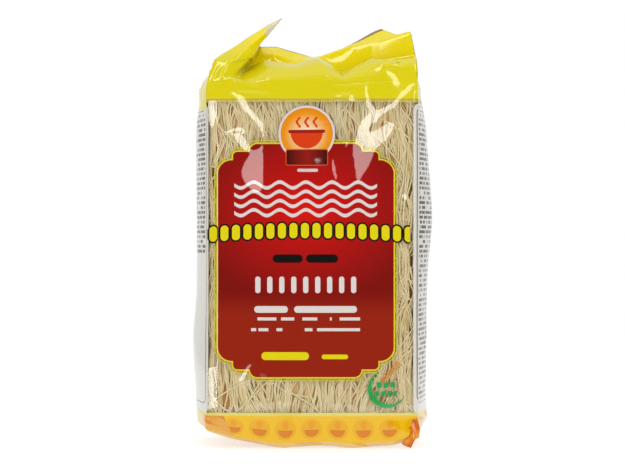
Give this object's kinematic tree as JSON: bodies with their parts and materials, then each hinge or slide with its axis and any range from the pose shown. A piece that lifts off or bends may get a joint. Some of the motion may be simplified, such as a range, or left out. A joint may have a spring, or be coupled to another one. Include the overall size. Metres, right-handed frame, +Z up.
{
  "type": "bag of dried rice vermicelli",
  "caption": "Upright sealed clear film bag with side gussets around a pressed block of thin dried rice noodles, its seal strip buckled into a pointed ear.",
  "frame": {"origin": "on the floor under the middle of the bag's bounding box", "axes": "+Z up along the noodle block, +X to the right of the front panel, -Y out of the front panel"},
  "size_m": [0.1622, 0.0676, 0.2852],
  "materials": {
    "printed_film": "glossy crinkled clear film with opaque yellow, red and white print",
    "rice_noodles": "dry translucent cream rice starch, satin"
  },
  "bodies": {
    "root": {"vermicelli_bag": "printed_film"}
  },
  "joints": []
}
